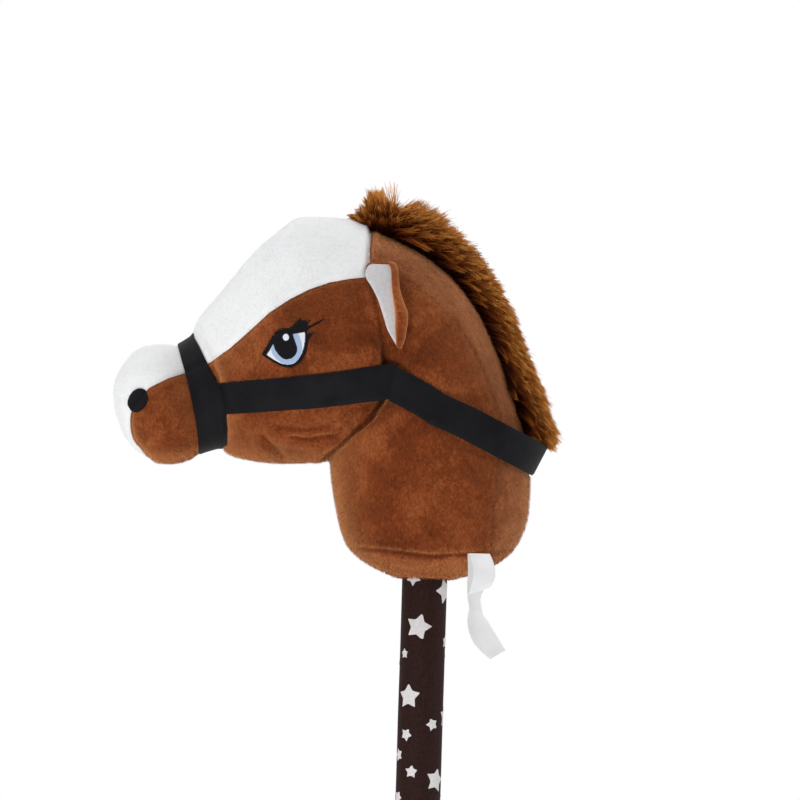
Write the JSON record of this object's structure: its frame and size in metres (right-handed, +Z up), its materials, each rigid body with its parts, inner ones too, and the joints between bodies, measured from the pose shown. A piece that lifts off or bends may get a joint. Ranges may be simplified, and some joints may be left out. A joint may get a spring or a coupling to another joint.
{
  "type": "hobby horse",
  "caption": "Plush horse's head with mane, folded ears and a webbing bridle on a long straight stick, for a child to ride astride.",
  "frame": {"origin": "centre of the foot cap's flat underside, on the stick's axis", "axes": "+Z up along the stick, the horse looks along -X, +Y is the horse's right side"},
  "size_m": [0.2624, 0.1396, 0.796],
  "materials": {
    "tube_plastic": "grey extruded tube",
    "sleeve_cloth": "dark woven sleeve with pale stars",
    "cap_rubber": "matt black moulded rubber",
    "top_cap_plastic": "pale moulded plastic",
    "pocket_cloth": "plain woven cloth",
    "polyester_stuffing": "loose polyester fibre",
    "brown_plush": "short brown pile",
    "white_plush": "short white pile",
    "black_thread": "satin stitch",
    "white_thread": "satin stitch",
    "blue_thread": "satin stitch",
    "mane_pile": "long golden brown pile with dark roots",
    "mane_backing_cloth": "dark knitted backing",
    "black_webbing": "black woven webbing with a soft sheen",
    "white_satin": "white satin ribbon"
  },
  "bodies": {
    "head_and_stick": {"stick_tube": "tube_plastic", "stick_sleeve": "sleeve_cloth", "foot_cap": "cap_rubber", "stick_top_cap": "top_cap_plastic", "stick_pocket": "pocket_cloth", "neck_stuffing": "polyester_stuffing", "head_stuffing": "polyester_stuffing", "white_face_panel": "white_plush", "cheek_panel_left": "brown_plush", "cheek_panel_right": "brown_plush", "neck_panel_left": "brown_plush", "neck_panel_right": "brown_plush", "neck_back_gusset": "brown_plush", "neck_base_panel": "brown_plush", "mane_pile": "mane_pile", "mane_backing": "mane_backing_cloth", "noseband": "black_webbing", "cheek_strap_left": "black_webbing", "cheek_strap_right": "black_webbing", "eye_outline_left": "black_thread", "eye_pupil_left": "black_thread", "nostril_left": "black_thread", "eye_white_left": "white_thread", "eye_iris_left": "blue_thread", "eye_outline_right": "black_thread", "eye_pupil_right": "black_thread", "nostril_right": "black_thread", "eye_white_right": "white_thread", "eye_iris_right": "blue_thread"},
    "ear_left": {"ear_outer_left": "brown_plush", "ear_lining_left": "white_plush"},
    "ear_right": {"ear_outer_right": "brown_plush", "ear_lining_right": "white_plush"},
    "rein": {"rein": "black_webbing"},
    "labels": {"label_long": "white_satin", "label_short": "white_satin"}
  },
  "joints": [
    {"name": "ear_left_lift", "type": "hinge", "parent": "head_and_stick", "child": "ear_left", "pos_m": [-0.0315, -0.05089, 0.7515], "axis": [-1, 0, 0], "range_deg": [0, 110]},
    {"name": "ear_right_lift", "type": "hinge", "parent": "head_and_stick", "child": "ear_right", "pos_m": [-0.0315, 0.05089, 0.7515], "axis": [1, 0, 0], "range_deg": [0, 110]},
    {"name": "rein_lift", "type": "hinge", "parent": "head_and_stick", "child": "rein", "pos_m": [-0.016, 0, 0.676], "axis": [0, -1, 0], "range_deg": [0, 60]},
    {"name": "labels_swing", "type": "hinge", "parent": "head_and_stick", "child": "labels", "pos_m": [0.0315, -0.03713, 0.578], "axis": [-1, 0, 0], "range_deg": [-15, 75]}
  ]
}
